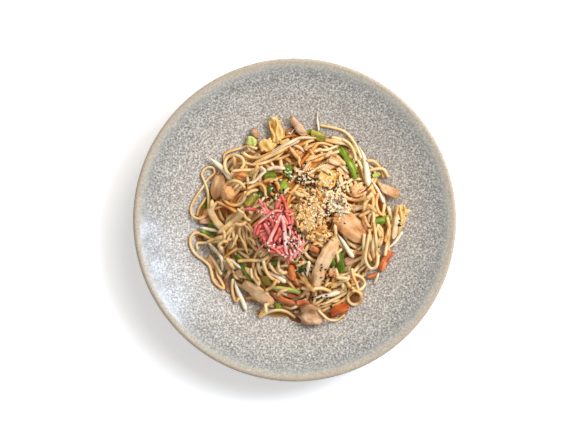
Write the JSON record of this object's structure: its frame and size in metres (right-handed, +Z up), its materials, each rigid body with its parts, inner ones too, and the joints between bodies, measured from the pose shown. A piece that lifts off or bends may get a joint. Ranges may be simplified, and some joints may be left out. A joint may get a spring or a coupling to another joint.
{
  "type": "yakisoba in a bowl",
  "caption": "Heap of stir-fried noodles with meat, prawn, egg and vegetables, topped with ginger shreds and crisp onion, in a shallow stoneware coupe bowl.",
  "frame": {"origin": "centre of the bowl's foot ring on the table", "axes": "+Z up out of the bowl; +X and +Y across it, with the meat strips of the larger size on the +X side"},
  "size_m": [0.27, 0.27, 0.0525],
  "materials": {
    "plate_glaze": "speckled grey reactive glaze over a bare clay rim and foot",
    "noodle": "glossy sauce over cooked wheat noodles",
    "chicken": "moist, browned at the edges",
    "prawn": "moist and banded",
    "egg": "soft matt, browned in spots",
    "spring_onion": "moist",
    "pepper": "glossy skin",
    "sprout": "moist and slightly clear",
    "onion": "moist and slightly clear",
    "ginger": "wet and slightly clear",
    "fried_onion": "dry and crisp"
  },
  "bodies": {
    "root": {"bowl": "plate_glaze", "noodles": "noodle", "ginger": "ginger", "fried_onion": "fried_onion", "chicken_1": "chicken", "chicken_2": "chicken", "chicken_3": "chicken", "chicken_4": "chicken", "chicken_5": "chicken", "chicken_6": "chicken", "chicken_7": "chicken", "chicken_8": "chicken", "chicken_9": "chicken", "prawn_1": "prawn", "prawn_2": "prawn", "prawn_3": "prawn", "egg_1": "egg", "egg_2": "egg", "egg_3": "egg", "egg_4": "egg", "green_1": "spring_onion", "green_2": "spring_onion", "green_3": "spring_onion", "green_4": "spring_onion", "green_5": "spring_onion", "green_6": "spring_onion", "green_7": "spring_onion", "green_8": "spring_onion", "green_9": "spring_onion", "green_10": "spring_onion", "green_11": "spring_onion", "green_12": "spring_onion", "green_13": "spring_onion", "green_14": "spring_onion", "green_15": "spring_onion", "green_16": "spring_onion", "pepper_1": "pepper", "pepper_2": "pepper", "pepper_3": "pepper", "pepper_4": "pepper", "pepper_5": "pepper", "pepper_6": "pepper", "pepper_7": "pepper", "sprout_1": "sprout", "sprout_2": "sprout", "sprout_3": "sprout", "sprout_4": "sprout", "sprout_5": "sprout", "sprout_6": "sprout", "sprout_7": "sprout", "sprout_8": "sprout", "sprout_9": "sprout", "sprout_10": "sprout", "sprout_11": "sprout", "sprout_12": "sprout", "onion_1": "onion", "onion_2": "onion", "onion_3": "onion", "onion_4": "onion"}
  },
  "joints": []
}
